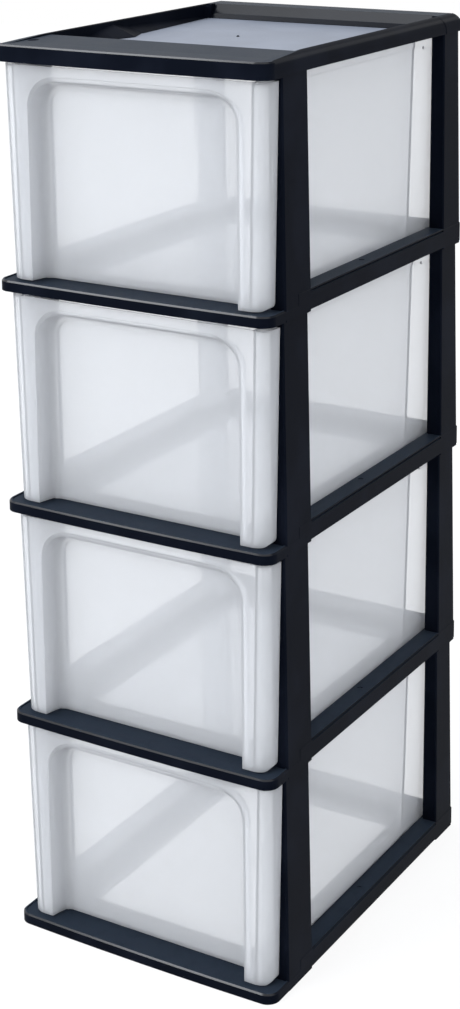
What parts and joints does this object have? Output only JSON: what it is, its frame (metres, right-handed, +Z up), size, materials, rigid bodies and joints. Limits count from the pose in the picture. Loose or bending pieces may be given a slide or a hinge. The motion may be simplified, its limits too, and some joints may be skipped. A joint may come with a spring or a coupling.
{
  "type": "drawer tower",
  "caption": "Free-standing plastic drawer tower: black stacked tier frames, tray-shaped top cap with translucent panel, and milky sliding drawers with arched grip fronts.",
  "frame": {"origin": "middle of the footprint, at the level of the feet", "axes": "+Z up, +X to the right seen from the front, the drawers open towards -Y"},
  "size_m": [0.2932, 0.392, 0.8845],
  "materials": {
    "black_plastic": "satin moulded polypropylene, black",
    "milky_plastic": "translucent milky moulded polypropylene",
    "gray_panel": "fine-grained translucent sheet, light gray over the dark inside"
  },
  "bodies": {
    "cabinet": {"tier_frame_1": "black_plastic", "tier_frame_2": "black_plastic", "tier_frame_3": "black_plastic", "tier_frame_4": "black_plastic", "top_cap": "black_plastic", "top_panel": "gray_panel"},
    "drawer_body_1": {"drawer_1": "milky_plastic"},
    "drawer_body_2": {"drawer_2": "milky_plastic"},
    "drawer_body_3": {"drawer_3": "milky_plastic"},
    "drawer_body_4": {"drawer_4": "milky_plastic"}
  },
  "joints": [
    {"name": "drawer_1_slide", "type": "slide", "parent": "cabinet", "child": "drawer_body_1", "axis": [0, -1, 0], "range_m": [0, 0.26]},
    {"name": "drawer_2_slide", "type": "slide", "parent": "cabinet", "child": "drawer_body_2", "axis": [0, -1, 0], "range_m": [0, 0.26]},
    {"name": "drawer_3_slide", "type": "slide", "parent": "cabinet", "child": "drawer_body_3", "axis": [0, -1, 0], "range_m": [0, 0.26]},
    {"name": "drawer_4_slide", "type": "slide", "parent": "cabinet", "child": "drawer_body_4", "axis": [0, -1, 0], "range_m": [0, 0.26]}
  ]
}
